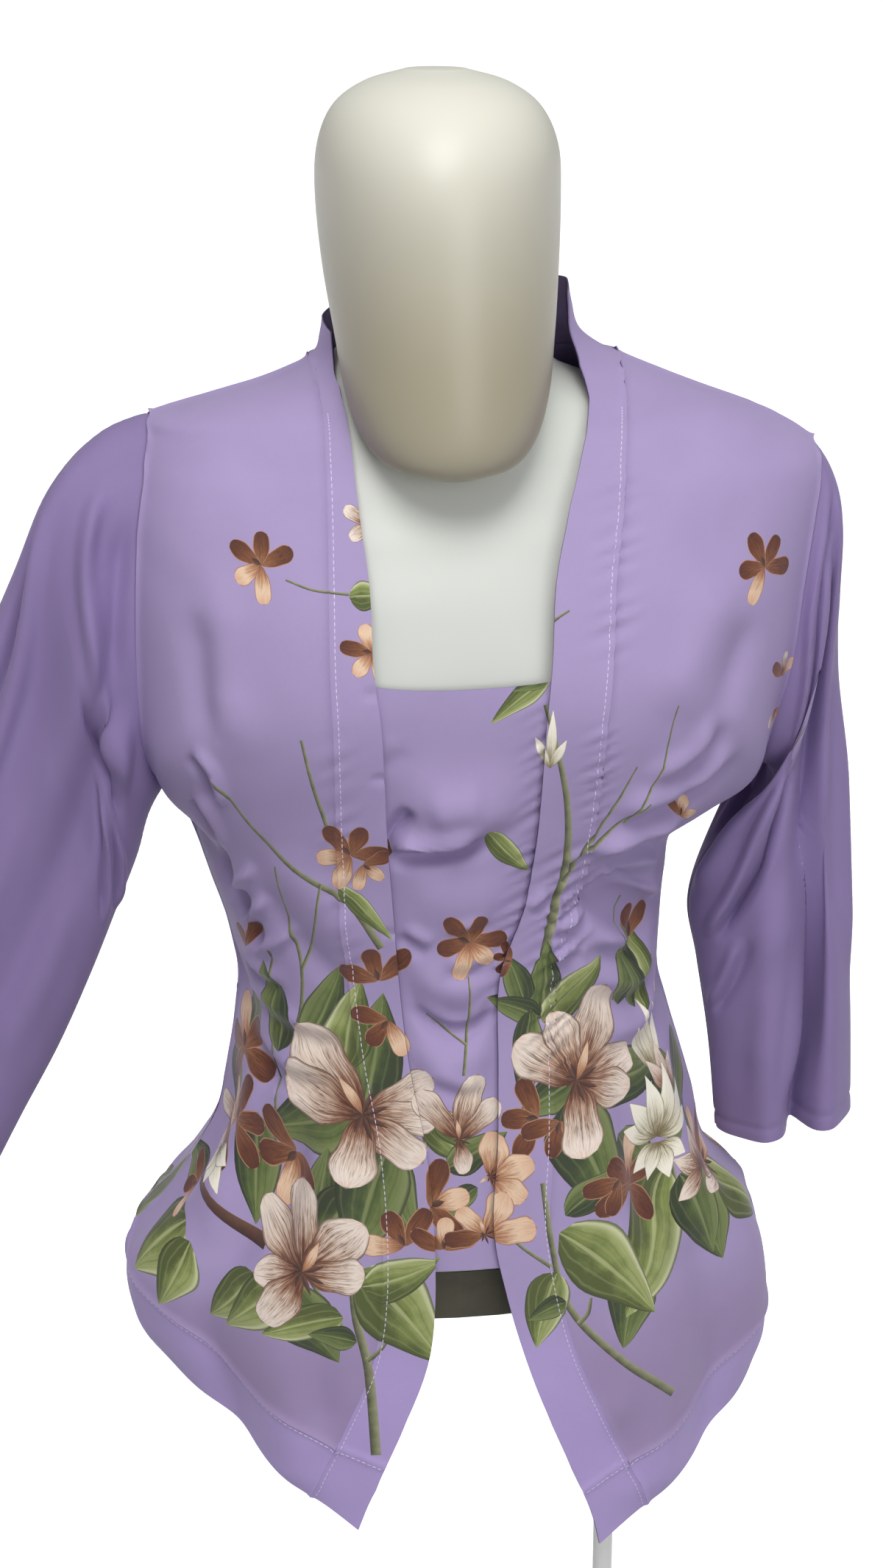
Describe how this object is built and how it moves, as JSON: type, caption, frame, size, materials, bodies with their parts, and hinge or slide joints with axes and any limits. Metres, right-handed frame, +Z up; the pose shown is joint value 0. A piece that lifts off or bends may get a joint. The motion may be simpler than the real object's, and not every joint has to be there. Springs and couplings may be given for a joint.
{
  "type": "kebaya blouse on dress form",
  "caption": "Fitted open-front blouse with centre panel, shaped bands, pointed tails and three-quarter sleeves on a limbless form.",
  "frame": {"origin": "middle of the underside of the stand's base plate", "axes": "+Z up along the rod, the blouse's front faces -Y, the wearer's left is +X"},
  "size_m": [0.665, 0.28, 1.153],
  "materials": {
    "blouse_crepe": "lavender crepe with a printed flower border",
    "band_crepe": "plain lavender crepe, folded double",
    "snap_metal": "small sewn press studs",
    "form_plastic": "ivory moulded shell with a soft gloss",
    "form_base": "dark closing plate",
    "stand_enamel": "white enamel"
  },
  "bodies": {
    "root": {"front_r": "blouse_crepe", "front_l": "blouse_crepe", "back": "blouse_crepe", "sleeve_r": "blouse_crepe", "sleeve_l": "blouse_crepe", "centre_panel": "blouse_crepe", "band_r": "band_crepe", "band_l": "band_crepe", "hem_r": "band_crepe", "hem_l": "band_crepe", "hem_back": "band_crepe", "snap_1": "snap_metal", "snap_2": "snap_metal", "snap_3": "snap_metal", "snap_4": "snap_metal", "form": "form_plastic", "form_base_cap": "form_base", "pole": "stand_enamel", "base_plate": "stand_enamel"}
  },
  "joints": []
}
